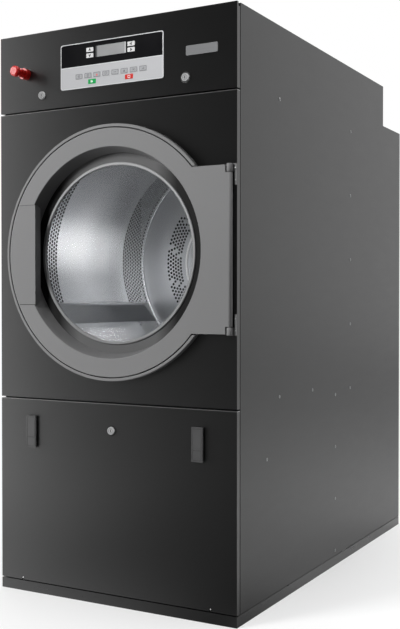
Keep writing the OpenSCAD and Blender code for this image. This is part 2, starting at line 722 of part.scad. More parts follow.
module service_door() color("#2c2c2e") {
    difference() {
        union() {
            folded_panel([plinth_h + 3, service_top_z]);
            both_sides() for (x = [pivot_x - 9, pivot_x + 3])
                along_x(x, pivot_y, pivot_z) cylinder(r = 3, h = 6, $fn = 32);
        }
        both_sides() {
            slab([pivot_x - 3, pivot_x + 3], [-1, fold_d + 1], [plinth_h + 2, plinth_h + 11]);
            slab([pivot_x - 13, pivot_x + 13], [pivot_y + 3.2, fold_d + 1], [plinth_h + 2, plinth_h + 6]);
            along_x(pivot_x - 12, pivot_y, pivot_z) cylinder(r = pivot_r + run_gap, h = 24, $fn = 32);
            pull_slab(pocket_w + 2 * pocket_t, pocket_h + 2 * pocket_t, [-1, 3]);
        }
        along_y(0, -1, lower_lock_z) cylinder(r = lock_barrel_r + run_gap, h = 3);
    }
}

// A box centred on the pull, seen from the front
module pull_slab(w, h, y)
    slab([pull_x - w / 2, pull_x + w / 2], y, [pull_z - h / 2, pull_z + h / 2]);

// A raised plate that the fingers hook behind from either side, with a pocket let into the door
module pull_handles() color("#333335") both_sides() {
    difference() {
        rounded_plate(pull_w, pull_h, 2, pull_x, [-pull_out, pull_t - pull_out], pull_z);
        slab([pull_x - pull_w, pull_x + pull_w], [-pull_out - 1, 0.6 - pull_out],
             [pull_z - 12, pull_z - 11.2]);
    }
    difference() {
        union() {
            pull_slab(pocket_w + 2 * pocket_t, pull_h - 2, [0.5 - pull_out, 0]);
            pull_slab(pocket_w + 2 * pocket_t, pocket_h + 2 * pocket_t, [-1, pocket_d + pocket_t]);
        }
        pull_slab(pull_w, pocket_h, [pull_t - pull_out, -1]);
        pull_slab(pocket_w, pocket_h, [-2, pocket_d]);
    }
}

// ---- the assembly --------------------------------------------------------------------------

at_base() base_plinth();
at_base() side_panel_left();
at_base() side_panel_right();
at_base() top_panel();
at_base() rear_cover();
at_base() door_panel();
at_base() front_bulkhead();
at_base() rear_bulkhead();
at_base() door_trim_ring();
at_base() hinge_brackets();
at_base() lint_housing();
at_base() fan_housing();
at_base() fan_motor();
at_base() heater_box();
at_base() heater_elements();
at_base() bearing_housing();
at_base() drum_bearings();
at_base() drive_motor();
at_base() drive_belt();
at_base() control_box();
at_base() power_gland();
at_base() side_screws();
at_base() control_fascia();
at_base() keypad_panel();
at_base() display_window();
at_base() name_plate();
at_base() e_stop_base();
at_base() e_stop_button();
at_base() upper_lock_left();
at_base() upper_lock_right();
at_base() lower_lock();
at_base() key_up();
at_base() key_down();
at_base() key_left();
at_base() key_right();
for (i = [1:8]) at_base() program_key(i);
at_base() start_key();
at_base() stop_key();
at_base() door_ring();
at_base() door_glass();
at_base() glass_trim_ring();
at_base() door_gasket();
at_base() door_handle();
at_base() service_door();
at_base() pull_handles();
at_base() lint_drawer();
at_base() drum_shell();
at_base() drum_rear_plate();
at_base() lifters();
at_base() drum_shaft();
at_base() drum_pulley();
at_base() motor_pulley();
at_base() fan_impeller();
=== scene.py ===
import json
import math

import bmesh
import bpy
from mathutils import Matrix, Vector


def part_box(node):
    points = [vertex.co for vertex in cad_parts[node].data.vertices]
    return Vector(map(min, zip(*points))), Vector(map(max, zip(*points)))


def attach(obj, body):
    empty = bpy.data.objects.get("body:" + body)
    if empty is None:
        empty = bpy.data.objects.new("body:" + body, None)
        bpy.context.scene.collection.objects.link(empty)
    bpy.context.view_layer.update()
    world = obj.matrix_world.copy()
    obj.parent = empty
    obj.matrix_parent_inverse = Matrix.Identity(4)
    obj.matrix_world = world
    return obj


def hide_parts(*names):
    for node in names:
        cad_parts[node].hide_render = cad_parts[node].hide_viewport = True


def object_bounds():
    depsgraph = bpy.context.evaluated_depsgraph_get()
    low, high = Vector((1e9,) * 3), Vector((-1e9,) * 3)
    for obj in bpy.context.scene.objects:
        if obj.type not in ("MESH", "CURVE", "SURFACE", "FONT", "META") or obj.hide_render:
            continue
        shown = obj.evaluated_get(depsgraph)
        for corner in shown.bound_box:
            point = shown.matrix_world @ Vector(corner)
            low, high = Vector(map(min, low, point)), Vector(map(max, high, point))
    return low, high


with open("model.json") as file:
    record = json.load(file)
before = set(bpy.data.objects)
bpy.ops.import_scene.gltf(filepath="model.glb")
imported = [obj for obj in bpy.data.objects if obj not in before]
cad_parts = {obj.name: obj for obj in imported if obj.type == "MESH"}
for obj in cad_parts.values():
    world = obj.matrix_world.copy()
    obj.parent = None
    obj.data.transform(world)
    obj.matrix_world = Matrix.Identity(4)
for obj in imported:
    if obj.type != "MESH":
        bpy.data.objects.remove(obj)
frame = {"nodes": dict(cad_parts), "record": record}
cad_low, cad_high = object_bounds()
nodes = frame["nodes"]
record = frame["record"]
slot_of = {s["node"]: s["material_slot"] for s in record["subparts"]}
body_of = {n: b for b, members in record["behaviour"]["bodies"].items() for n in members}
MM = 0.001

# ---- camera, light and stage ----------------------------------------------------------------

scene = bpy.context.scene
camera_data = bpy.data.cameras.new("camera")
camera_data.sensor_width = 36
camera_data.lens = 56.38
camera_data.clip_start = 0.05
camera_data.clip_end = 100
camera = bpy.data.objects.new("camera", camera_data)
camera.location = (1.563, -3.0074, 0.8675)
camera.rotation_euler = (math.radians(89.159), 0, math.radians(28.905))
scene.collection.objects.link(camera)
scene.camera = camera
scene.view_settings.view_transform = "Standard"
scene.view_settings.look = "None"


def link_nodes(tree, *pairs):
    for a, b in pairs:
        tree.links.new(a, b)


def studio_world():
    """White behind the machine, dark behind the camera, as in a studio with a white sweep."""
    world = bpy.data.worlds.new("studio")
    world.use_nodes = True
    scene.world = world
    tree = world.node_tree
    tree.nodes.clear()
    coords = tree.nodes.new("ShaderNodeTexCoord")
    split = tree.nodes.new("ShaderNodeSeparateXYZ")
    ramp = tree.nodes.new("ShaderNodeMapRange")
    ramp.interpolation_type = "SMOOTHSTEP"
    for name, value in (("From Min", -0.35), ("From Max", 0.6), ("To Min", 0.08), ("To Max", 1.15)):
        ramp.inputs[name].default_value = value
    lit = tree.nodes.new("ShaderNodeBackground")
    seen = tree.nodes.new("ShaderNodeBackground")
    seen.inputs["Color"].default_value = (1, 1, 1, 1)
    path = tree.nodes.new("ShaderNodeLightPath")
    mix = tree.nodes.new("ShaderNodeMixShader")
    out = tree.nodes.new("ShaderNodeOutputWorld")
    link_nodes(
        tree,
        (coords.outputs["Generated"], split.inputs[0]),
        (split.outputs["Y"], ramp.inputs["Value"]),
        (ramp.outputs["Result"], lit.inputs["Strength"]),
        (path.outputs["Is Camera Ray"], mix.inputs[0]),
        (lit.outputs[0], mix.inputs[1]),
        (seen.outputs[0], mix.inputs[2]),
        (mix.outputs[0], out.inputs["Surface"]),
    )


def area_light(name, place, target, size, power, shape="RECTANGLE", hidden=False, spread=180):
    """A lamp that faces its target. The spread is the full angle of its beam, in degrees."""
    light = bpy.data.lights.new(name, "AREA")
    light.shape = shape
    light.size, light.size_y = size
    light.energy = power
    light.spread = math.radians(spread)
    obj = bpy.data.objects.new(name, light)
    obj.location = place
    obj.rotation_euler = (Vector(target) - Vector(place)).to_track_quat("-Z", "Y").to_euler()
    obj.visible_camera = not hidden
    scene.collection.objects.link(obj)
    return obj


def falls_on(light, names, only):
    """Lets a light fall on the named nodes only, or on everything else only."""
    group = bpy.data.collections.new(light.name + "_group")
    for name in names:
        group.objects.link(nodes[name])
    for entry in group.collection_objects:
        entry.light_linking.link_state = "INCLUDE" if only else "EXCLUDE"
    light.light_linking.receiver_collection = group


studio_world()
black_panels = ("control_fascia", "door_panel", "service_door", "base_plinth")
control_starts = ("key", "program_key", "start_key", "stop_key", "display", "name_plate")
control_ends = ("_lock_left", "_lock_right", "_lock")
controls = tuple(n for n in nodes if n.startswith(control_starts) or n.endswith(control_ends))
soft_left = area_light("soft_left", (-1.75, -1.35, 1.2), (0, -0.6, 1.2), (1.3, 2.6), 25)
soft_key = area_light("soft_key", (-2.3, -4.6, 3.1), (0, -0.6, 1.0), (1.6, 1.6), 262)
soft_right = area_light("soft_right", (2.6, -4.0, 3.2), (0, -0.6, 1.3), (1.5, 1.5), 230)
falls_on(soft_left, black_panels + ("pull_handles",), only=True)
falls_on(soft_key, black_panels + controls, only=False)
falls_on(soft_right, controls + ("pull_handles",), only=True)
area_light("soft_top", (0.4, 0.6, 4.2), (0, 0.2, 0), (3.5, 3.5), 160)
# Four hidden lamps inside the drum. They light every piece, and of the CAD nodes only these seven.
drum_lit = ("lifters", "drum_shaft", "front_bulkhead", "door_ring", "door_gasket", "door_glass",
            "glass_trim_ring")
drum_unlit = [n for n in nodes if n not in drum_lit]
for lamp in (
    area_light("drum_lamp", (-0.03, 0.045, 1.0), (-0.03, -1.0, 1.0), (0.24, 0.1), 0.06, "ELLIPSE",
               hidden=True),
    area_light("drum_beam", (0.32, -0.3, 1.03), (-0.366, -0.32, 1.047), (0.42, 0.03), 0.44,
               hidden=True, spread=18),
    area_light("drum_floor_beam", (-0.08, -0.32, 1.3), (-0.22, -0.33, 0.72), (0.3, 0.2), 0.6,
               hidden=True, spread=24),
    area_light("drum_fill", (0.05, -0.58, 1.15), (-0.1, 0.06, 0.95), (0.3, 0.3), 1.5, hidden=True),
):
    falls_on(lamp, drum_unlit, only=False)

# ---- materials ------------------------------------------------------------------------------


class Paint:
    """A Principled material whose colour, roughness and bump vary by nodes."""

    def __init__(self, name):
        self.mat = bpy.data.materials.new(name)
        self.mat.use_nodes = True
        self.tree = self.mat.node_tree
        self.shader = self.tree.nodes["Principled BSDF"]
        self.coords = self.tree.nodes.new("ShaderNodeTexCoord").outputs["Object"]

    def axes(self):
        """The x, y and z of the object's coordinates."""
        node = self.tree.nodes.new("ShaderNodeSeparateXYZ")
        self.tree.links.new(self.coords, node.inputs[0])
        return node.outputs

    def math(self, operation, a, b=0.0):
        node = self.tree.nodes.new("ShaderNodeMath")
        node.operation = operation
        for i, value in enumerate((a, b)):
            if isinstance(value, (int, float)):
                node.inputs[i].default_value = value
            else:
                self.tree.links.new(value, node.inputs[i])
        return node.outputs[0]

    def length(self, a, b):
        return self.math("SQRT", self.math("ADD", self.math("MULTIPLY", a, a), self.math("MULTIPLY", b, b)))

    def mixed(self, a, b, share):
        return self.math("ADD", self.math("MULTIPLY", a, share), self.math("MULTIPLY", b, 1 - share))

    def off_axis(self, x, z):
        """Distances from the axis of the door and the drum: across, up, and straight."""
        dx, dz = self.math("SUBTRACT", x, axis.x), self.math("SUBTRACT", z, axis.z)
        return dx, dz, self.length(dx, dz)

    def spread(self, value, low, high, to_low, to_high):
        node = self.tree.nodes.new("ShaderNodeMapRange")
        for i, number in enumerate((low, high, to_low, to_high)):
            node.inputs[i + 1].default_value = number
        self.tree.links.new(value, node.inputs[0])
        return node.outputs[0]

    def noise(self, vector, scale, detail=2.0, rough=0.5):
        node = self.tree.nodes.new("ShaderNodeTexNoise")
        node.inputs["Scale"].default_value = scale
        node.inputs["Detail"].default_value = detail
        node.inputs["Roughness"].default_value = rough
        self.tree.links.new(vector, node.inputs["Vector"])
        return node.outputs["Fac"]

    def stretched(self, scale):
        node = self.tree.nodes.new("ShaderNodeMapping")
        node.inputs["Scale"].default_value = scale
        self.tree.links.new(self.coords, node.inputs["Vector"])
        return node.outputs[0]

    def turned(self, centre, along, around):
        """Coordinates for marks that run round an axis parallel to Y: (radius, y, angle)."""
        node = self.tree.nodes.new("ShaderNodeVectorMath")
        node.operation = "SUBTRACT"
        self.tree.links.new(self.coords, node.inputs[0])
        node.inputs[1].default_value = centre
        split = self.tree.nodes.new("ShaderNodeSeparateXYZ")
        self.tree.links.new(node.outputs[0], split.inputs[0])
        x, y, z = split.outputs
        radius = self.length(x, z)
        angle = self.math("ARCTAN2", z, x)
        join = self.tree.nodes.new("ShaderNodeCombineXYZ")
        link_nodes(
            self.tree,
            (self.math("MULTIPLY", radius, along), join.inputs[0]),
            (self.math("MULTIPLY", y, along), join.inputs[1]),
            (self.math("MULTIPLY", angle, around), join.inputs[2]),
        )
        return join.outputs[0]

    def blend(self, factor, first, second):
        node = self.tree.nodes.new("ShaderNodeMix")
        node.data_type = "RGBA"
        if isinstance(factor, (int, float)):
            node.inputs[0].default_value = factor
        else:
            self.tree.links.new(factor, node.inputs[0])
        for socket, value in ((node.inputs[6], first), (node.inputs[7], second)):
            if isinstance(value, tuple):
                socket.default_value = (*value, 1)
            else:
                self.tree.links.new(value, socket)
        return node.outputs[2]

    def bump(self, height, strength, distance):
        node = self.tree.nodes.new("ShaderNodeBump")
        node.inputs["Strength"].default_value = strength
        node.inputs["Distance"].default_value = distance
        self.tree.links.new(height, node.inputs["Height"])
        self.tree.links.new(node.outputs[0], self.shader.inputs["Normal"])

    def finish(self, colour, rough, **values):
        self.tree.links.new(colour, self.shader.inputs["Base Color"])
        self.tree.links.new(rough, self.shader.inputs["Roughness"])
        for name, value in values.items():
            self.shader.inputs[name.replace("_", " ")].default_value = value
        return self.mat


def box_middle(node):
    low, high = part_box(node)
    return (low + high) / 2


axis = box_middle("door_glass")
ring_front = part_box("door_ring")[0].y
panel_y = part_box("door_panel")[0].y
trim_low, trim_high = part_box("door_trim_ring")
gap_inset, half_gap = 9.7 * MM, 1.9 * MM
ring_gap = (trim_high.x - trim_low.x) / 2 - gap_inset  # mid radius of the gap round the door ring
ring_face_width = 30 * MM
drum_low, drum_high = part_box("drum_shell")
sheet = 1.5 * MM
drum_r = (drum_high.x - drum_low.x) / 2 - sheet
drum_front = drum_low.y
back_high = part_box("drum_rear_plate")[1]
back_face = back_high.y - 2 * MM
# Past this radius and this depth the hole walls are painted black as shade.
shaded_hole_walls = (drum_r + 0.7 * MM, back_face + 0.6 * MM)


def shade(colour, factor):
    return tuple(min(1.0, c * factor) for c in colour)


def coated(name, colour, rough, vary=0.1, peel=900.0, depth=0.12, gloss=0.045, flange_shade_y=None, fold_highlights=(),
           **values):
    """Powder coat or painted metal: orange-peel grain, slightly uneven colour and gloss. Along the folds at
    the given heights a pale line is painted as a highlight. A flange depth makes it the door's paint, with
    painted shade."""
    p = Paint(name)
    broad = p.noise(p.coords, 2.2, 4.0, 0.6)
    fine = p.noise(p.coords, peel, 2.0)
    smear = p.noise(p.stretched((1.5, 1.5, 6.0)), 5.0, 5.0, 0.65)
    tone = p.mixed(broad, fine, 0.7)
    p.bump(fine, depth, 0.0003)
    paint = p.blend(p.spread(tone, 0.3, 0.7, 0, 1), shade(colour, 1 - vary), shade(colour, 1 + vary))
    x, y, z = p.axes()
    # Painted highlight: a pale line along each fold at the given heights.
    for highlight_z in fold_highlights:
        near = p.math("ABSOLUTE", p.math("SUBTRACT", z, highlight_z - 0.6 * MM))
        paint = p.blend(p.spread(near, 0.8 * MM, 1.6 * MM, 1, 0), paint, (0.35, 0.35, 0.352))
    # The door's paint gets painted shade in its dish, on its flange and in the gap round the ring.
    if flange_shade_y is not None:
        paint = door_painted_shade(p, (x, y, z), colour, paint, flange_shade_y)
    return p.finish(paint, p.spread(smear, 0.3, 0.7, rough - gloss, rough + gloss), **values)


def door_painted_shade(p, place, colour, paint, flange_shade_y):
    """Painted shade on the door, fixed to the door: the dish in front of the glass is darkened as shade,
    most of all up towards the handle; the flange behind the given depth is darker, black at the sides as
    shadow; the gap between the door ring and the fixed ring is painted black as shadow."""
    black = (0.01, 0.01, 0.01)
    x, y, z = place
    # Painted shade on the flange behind the glass: darker at top and bottom, black at the sides.
    sides = p.spread(p.math("ABSOLUTE", p.math("SUBTRACT", x, axis.x)), 0.13, 0.2, 0, 1)
    flange_shade = p.blend(sides, shade(colour, 0.55), black)
    dx, dz, radius = p.off_axis(x, z)
    # Painted shade in the dish: darkest up and to the left, and darker below the axis.
    deep = p.math("GREATER_THAN", y, ring_front + 1.2 * MM)
    towards = p.math("SUBTRACT", p.math("MULTIPLY", dz, 0.6), p.math("MULTIPLY", dx, 0.8))
    upper_left = p.spread(p.math("DIVIDE", towards, radius), 0.45, 0.9, 1, 0.5)
    dark = p.math("MULTIPLY", upper_left, p.spread(dz, -0.15, 0.05, 0.66, 1))
    dish = p.math("MULTIPLY", deep, p.math("LESS_THAN", radius, ring_gap - ring_face_width))
    paint = p.blend(dish, paint, p.blend(dark, (0, 0, 0), paint))
    paint = p.blend(p.math("GREATER_THAN", y, flange_shade_y), paint, flange_shade)
    # Painted shadow: black in the gap between the door ring and the fixed ring.
    gap = p.math("LESS_THAN", p.math("ABSOLUTE", p.math("SUBTRACT", radius, ring_gap)), half_gap)
    return p.blend(p.math("MULTIPLY", gap, deep), paint, black)


def moulded(name, colour, rough, vary=0.08, grain=1800.0, depth=0.15, **values):
    """Moulded plastic or rubber with a fine spark-eroded grain."""
    p = Paint(name)
    fine = p.noise(p.coords, grain, 3.0, 0.6)
    broad = p.noise(p.coords, 14.0, 3.0)
    p.bump(fine, depth, 0.0002)
    return p.finish(
        p.blend(p.spread(broad, 0.3, 0.7, 0, 1), shade(colour, 1 - vary), shade(colour, 1 + vary)),
        p.spread(p.mixed(fine, broad, 0.5), 0.3, 0.7, rough - 0.05, rough + 0.06),
        **values,
    )


def brushed(name, colour, rough, centre=None, stretch=(1, 1, 1), vary=0.08, depth=0.1, lines=900.0,
            metal=1.0, gloss=0.06, shade_past=None):
    """Metal with fine tool or brush marks, along a stretch or round an axis. The walls of punched
    holes are painted black as shade past the radius or the depth given."""
    p = Paint(name)
    marks = p.turned(centre, 1.0, 0.012) if centre is not None else p.stretched(stretch)
    fine = p.noise(marks, lines, 3.0, 0.65)
    broad = p.noise(p.coords, 3.5, 4.0, 0.6)
    p.bump(fine, depth, 0.0002)
    tone = p.mixed(fine, broad, 0.5)
    paint = p.blend(p.spread(tone, 0.35, 0.65, 0, 1), shade(colour, 1 - vary), shade(colour, 1 + vary))
    # Painted shade: hole walls black past the given radius or depth.
    if shade_past is not None:
        x, y, z = p.axes()
        radius = p.off_axis(x, z)[2]
        past = p.math("MAXIMUM", p.math("GREATER_THAN", radius, shade_past[0]),
                      p.math("GREATER_THAN", y, shade_past[1]))
        paint = p.blend(past, paint, (0.004, 0.004, 0.004))
    return p.finish(paint, p.spread(p.mixed(fine, broad, 0.6), 0.3, 0.7, rough - gloss, rough + gloss),
                    Metallic=metal)


def spangled(name, colour, rough):
    """Hot-dip galvanised sheet: flakes of differing tone and gloss."""
    p = Paint(name)
    cells = p.tree.nodes.new("ShaderNodeTexVoronoi")
    cells.inputs["Scale"].default_value = 70.0
    warp = p.noise(p.coords, 40.0, 2.0)
    offset = p.tree.nodes.new("ShaderNodeVectorMath")
    offset.operation = "MULTIPLY_ADD"
    offset.inputs[1].default_value = (1, 1, 1)
    warp_size = 0.012
    tint = p.tree.nodes.new("ShaderNodeCombineXYZ")
    for i in range(3):
        p.tree.links.new(p.math("MULTIPLY", warp, warp_size), tint.inputs[i])
    link_nodes(p.tree, (p.coords, offset.inputs[0]), (tint.outputs[0], offset.inputs[2]),
               (offset.outputs[0], cells.inputs["Vector"]))
    grey = p.tree.nodes.new("ShaderNodeSeparateColor")
    p.tree.links.new(cells.outputs["Color"], grey.inputs[0])
    p.bump(p.noise(p.coords, 500.0, 2.0), 0.1, 0.0003)
    return p.finish(
        p.blend(grey.outputs[0], shade(colour, 0.8), shade(colour, 1.15)),
        p.spread(grey.outputs[1], 0, 1, rough - 0.1, rough + 0.12),
        Metallic=0.9,
    )


def keypad_film(name, middle, size):
    """Printed overlay: black upper field, silver lower field, both inside a light border."""
    p = Paint(name)
    place = p.axes()
    x = p.math("ABSOLUTE", p.math("SUBTRACT", place[0], middle.x))
    z = p.math("SUBTRACT", place[2], middle.z)
    border, corner = 2.4 * MM, 6 * MM
    dx = p.math("MAXIMUM", p.math("SUBTRACT", x, size.x / 2 - border - corner), 0.0)
    dz = p.math("MAXIMUM", p.math("SUBTRACT", p.math("ABSOLUTE", z), size.z / 2 - border - corner), 0.0)
    field = p.math("LESS_THAN", p.length(dx, dz), corner)
    upper = p.math("GREATER_THAN", z, -1.5 * MM)
    grain = p.noise(p.coords, 2200.0, 2.0)
    haze = p.noise(p.coords, 18.0, 3.0)
    silver = p.blend(grain, (0.52, 0.525, 0.54), (0.6, 0.605, 0.62))
    black = p.blend(haze, (0.006, 0.006, 0.007), (0.012, 0.012, 0.013))
    divider = p.math("LESS_THAN", p.math("ABSOLUTE", p.math("ADD", z, 2.6 * MM)), 1.1 * MM)
    inner = p.blend(divider, p.blend(upper, silver, black), (0.75, 0.76, 0.77))
    p.bump(grain, 0.12, 0.0002)
    return p.finish(p.blend(field, (0.7, 0.71, 0.72), inner), p.spread(haze, 0.3, 0.7, 0.42, 0.5),
                    Specular_IOR_Level=0.12)


def display_glass(name):
    """Liquid-crystal window: grey field with a faint dot matrix and uneven backlight."""
    p = Paint(name)
    dots = p.tree.nodes.new("ShaderNodeTexVoronoi")
    dots.inputs["Scale"].default_value = 1100.0
    dots.inputs["Randomness"].default_value = 0.0
    p.tree.links.new(p.coords, dots.inputs["Vector"])
    haze = p.noise(p.stretched((8, 1, 26)), 2.0, 2.0)
    dark = p.spread(dots.outputs["Distance"], 0.0, 0.6, 0.0, 0.25)
    tone = p.blend(haze, (0.36, 0.362, 0.366), (0.46, 0.462, 0.466))
    across = p.axes()[0]
    low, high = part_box("display_window")
    # A painted shadow of the bezel along the left side, and a painted highlight along the right edge.
    shadow = p.spread(across, low.x + 3 * MM, low.x + 8 * MM, 1, 0)
    light = p.spread(across, high.x - 4.5 * MM, high.x - 3 * MM, 0, 1)
    tone = p.blend(light, p.blend(shadow, tone, (0.05, 0.05, 0.052)), (0.75, 0.75, 0.76))
    return p.finish(p.blend(dark, tone, (0.16, 0.17, 0.17)), p.spread(haze, 0.3, 0.7, 0.12, 0.18),
                    Specular_IOR_Level=0.6)


def pane(name):
    """Clear door glass with faint smears."""
    p = Paint(name)
    haze = p.noise(p.coords, 7.0, 4.0, 0.6)
    return p.finish(p.blend(haze, (0.03, 0.034, 0.036), (0.045, 0.05, 0.052)),
                    p.spread(haze, 0.3, 0.7, 0.02, 0.05), Alpha=0.13, Specular_IOR_Level=0.9)


keypad_low, keypad_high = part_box("keypad_panel")
keypad_mid = box_middle("keypad_panel")

STEEL = (0.56, 0.57, 0.58)
materials = {
    # The black panels get a painted highlight along their top folds.
    "black_panel": coated("black_panel", (0.007, 0.007, 0.0072), 0.36, vary=0.06, peel=1100.0, depth=0.04,
                          gloss=0.012, fold_highlights=[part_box(n)[1].z for n in ("door_panel", "service_door")],
                          Specular_IOR_Level=1.0),
    "grey_panel": coated("grey_panel", (0.017, 0.017, 0.0175), 0.36, vary=0.06, peel=1100.0, depth=0.04,
                         gloss=0.012),
    # The plinth gets a painted highlight along its top fold.
    "plinth_paint": coated("plinth_paint", (0.02, 0.02, 0.0205), 0.3, vary=0.2, depth=0.08,
                           fold_highlights=[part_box("base_plinth")[1].z], Specular_IOR_Level=0.8),
    # The door's paint carries painted shade in the dish, on the flange and in the ring gap.
    "door_paint": coated("door_paint", (0.235, 0.235, 0.237), 0.58, vary=0.03, peel=1300.0, depth=0.1,
                         flange_shade_y=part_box("door_glass")[0].y - 3.5 * MM, Specular_IOR_Level=0.1),
    "handle_paint": coated("handle_paint", (0.225, 0.225, 0.227), 0.58, vary=0.03, peel=1300.0, depth=0.1,
                           Specular_IOR_Level=0.1),
    "motor_paint": coated("motor_paint", (0.06, 0.085, 0.12), 0.4, vary=0.15, peel=400.0, depth=0.3),
    "cast_metal": coated("cast_metal", (0.11, 0.115, 0.12), 0.55, vary=0.2, peel=350.0, depth=0.6,
                         Metallic=0.5),
    "stop_red": moulded("stop_red", (0.55, 0.012, 0.01), 0.3, grain=900.0, depth=0.05, Coat_Weight=0.3),
    "seal_rubber": moulded("seal_rubber", (0.012, 0.012, 0.012), 0.65, depth=0.3),
    "belt_rubber": moulded("belt_rubber", (0.014, 0.014, 0.014), 0.7, grain=700.0, depth=0.4),
    "gland_plastic": moulded("gland_plastic", (0.014, 0.014, 0.015), 0.45),
    "cup_plastic": moulded("cup_plastic", (0.032, 0.032, 0.0325), 0.42),
    "key_white": moulded("key_white", (0.78, 0.78, 0.78), 0.4, vary=0.03, depth=0.08),
    "key_grey": moulded("key_grey", (0.42, 0.425, 0.44), 0.36, vary=0.04, depth=0.08),
    "key_green": moulded("key_green", (0.02, 0.42, 0.11), 0.36, vary=0.06, depth=0.08),
    "key_red": moulded("key_red", (0.72, 0.045, 0.035), 0.36, vary=0.06, depth=0.08),
    "keypad_film": keypad_film("keypad_film", keypad_mid, keypad_high - keypad_low),
    "display": display_glass("display"),
    "glass": pane("glass"),
    "trim_steel": brushed("trim_steel", (0.24, 0.243, 0.246), 0.5, centre=axis, metal=0.2, depth=0.04),
    "drum_steel": brushed("drum_steel", (0.62, 0.63, 0.645), 0.23, centre=axis, vary=0.02, depth=0.006,
                          metal=0.75, gloss=0.01, shade_past=shaded_hole_walls),
    "plate_steel": brushed("plate_steel", (0.55, 0.56, 0.575), 0.34, centre=axis, vary=0.03, depth=0.015,
                           metal=0.8, gloss=0.02, shade_past=shaded_hole_walls),
    "lifter_steel": brushed("lifter_steel", (0.5, 0.51, 0.52), 0.34, stretch=(1, 0.02, 1), depth=0.1),
    "machined_steel": brushed("machined_steel", STEEL, 0.3, centre=axis, lines=500.0, depth=0.2),
    "fan_steel": brushed("fan_steel", STEEL, 0.38, centre=box_middle("fan_impeller"), lines=300.0),
    "element_steel": brushed("element_steel", (0.32, 0.25, 0.2), 0.45, stretch=(0.1, 1, 1), vary=0.25),
    "plate_metal": brushed("plate_metal", (0.3, 0.303, 0.31), 0.4, stretch=(0.02, 1, 1), lines=1800.0,
                           metal=0.3),
    "lock_chrome": brushed("lock_chrome", (0.62, 0.625, 0.63), 0.35, lines=500.0, depth=0.05,
                           metal=0.35),
    "drawer_steel": brushed("drawer_steel", (0.5, 0.505, 0.5), 0.36, stretch=(0.03, 1, 1), lines=700.0),
    "galvanised": spangled("galvanised", (0.46, 0.47, 0.48), 0.42),
}
# Near white and not metal: a painted highlight for the hub bead and the pivot ends.
glint_white = brushed("glint_white", (0.95, 0.955, 0.96), 0.35, centre=axis, depth=0.02, metal=0.0)
duct_paint = coated("duct_paint", (0.035, 0.035, 0.036), 0.6, vary=0.2, peel=600.0)
ink = moulded("ink", (0.012, 0.012, 0.014), 0.45, depth=0.05)
ink_grey = moulded("ink_grey", (0.1, 0.103, 0.11), 0.45, depth=0.05)
ink_white = moulded("ink_white", (0.8, 0.8, 0.8), 0.45, vary=0.03, depth=0.05)
ink_red = moulded("ink_red", (0.75, 0.03, 0.03), 0.45, depth=0.05)
screw_metal = brushed("screw_metal", (0.34, 0.345, 0.35), 0.35)

frame_paint = coated("frame_paint", (0.012, 0.012, 0.0125), 0.5, peel=1100.0)
special = {"front_bulkhead": frame_paint, "heater_box": duct_paint}
for name, node in nodes.items():
    node.data.materials.clear()
    node.data.materials.append(special.get(name, materials[slot_of[name]]))

# ---- helpers for the pieces -----------------------------------------------------------------


def soften(name, width):
    """Rounds the sharp edges of a folded-sheet node, whose mesh itself stays as it is."""
    node = nodes[name]
    weld = node.modifiers.new("weld", "WELD")
    weld.merge_threshold = 1e-5
    flat = node.modifiers.new("flat", "DECIMATE")
    flat.decimate_type = "DISSOLVE"
    flat.angle_limit = math.radians(0.5)
    bevel = node.modifiers.new("bevel", "BEVEL")
    bevel.width = width
    bevel.segments = 2
    bevel.limit_method = "ANGLE"
    bevel.angle_limit = math.radians(50)
    bevel.harden_normals = True


def new_piece(name, bm, body, material, replaced=(), front=None):
    """Turns a bmesh into a piece. An open sheet names the axis its faces must look towards."""
    bmesh.ops.remove_doubles(bm, verts=bm.verts, dist=1e-6)
    bmesh.ops.recalc_face_normals(bm, faces=bm.faces)
    if front is not None:
        facing = sum(f.normal.dot(front - f.calc_center_median()) * f.calc_area() for f in bm.faces)
        if facing < 0:
            bmesh.ops.reverse_faces(bm, faces=bm.faces)
    mesh = bpy.data.meshes.new(name)
    bm.to_mesh(mesh)
    bm.free()
    mesh.polygons.foreach_set("use_smooth", [True] * len(mesh.polygons))
    mesh.set_sharp_from_angle(angle=math.radians(35))
    mesh.materials.append(material)
    obj = bpy.data.objects.new(name, mesh)
    scene.collection.objects.link(obj)
    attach(obj, body)
    if replaced:
        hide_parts(*replaced)
    return obj


def bridge(bm, rings, closed=True):
    """Quads between neighbouring rings of vertices."""
    for a, b in zip(rings, rings[1:]):
        n = len(a)
        for i in range(n if closed else n - 1):
            bm.faces.new((a[i], a[(i + 1) % n], b[(i + 1) % n], b[i]))


def circle(x, z, radius, n):
    """The (x, z) points of a circle."""
    return [(x + radius * math.cos(math.tau * i / n), z + radius * math.sin(math.tau * i / n))
            for i in range(n)]


def ring(bm, centre, radius, y, n):
    return [bm.verts.new((x, y, z)) for x, z in circle(centre.x, centre.z, radius, n)]


def lathe(bm, centre, profile, n=96, closed=False):
    """Turns (radius, y) points about an axis along Y."""
    rings = [ring(bm, centre, r, y, n) for r, y in profile]
    bridge(bm, rings + rings[:1] if closed else rings)
    return rings


def outline(bm, points, y_low, y_high):
    """A closed prism along Y on an outline of (x, z) points."""
    low = [bm.verts.new((x, y_low, z)) for x, z in points]
    high = [bm.verts.new((x, y_high, z)) for x, z in points]
    bridge(bm, [low, high])
    bm.faces.new(low)
    bm.faces.new(high[::-1])


def rounded(w, h, r, x, z, n=5):
    points = []
    for k, (sx, sz) in enumerate(((1, 1), (-1, 1), (-1, -1), (1, -1))):
        for i in range(n + 1):
            a = math.pi / 2 * (k + i / n)
            points.append((x + sx * (w / 2 - r) + r * math.cos(a), z + sz * (h / 2 - r) + r * math.sin(a)))
    return points


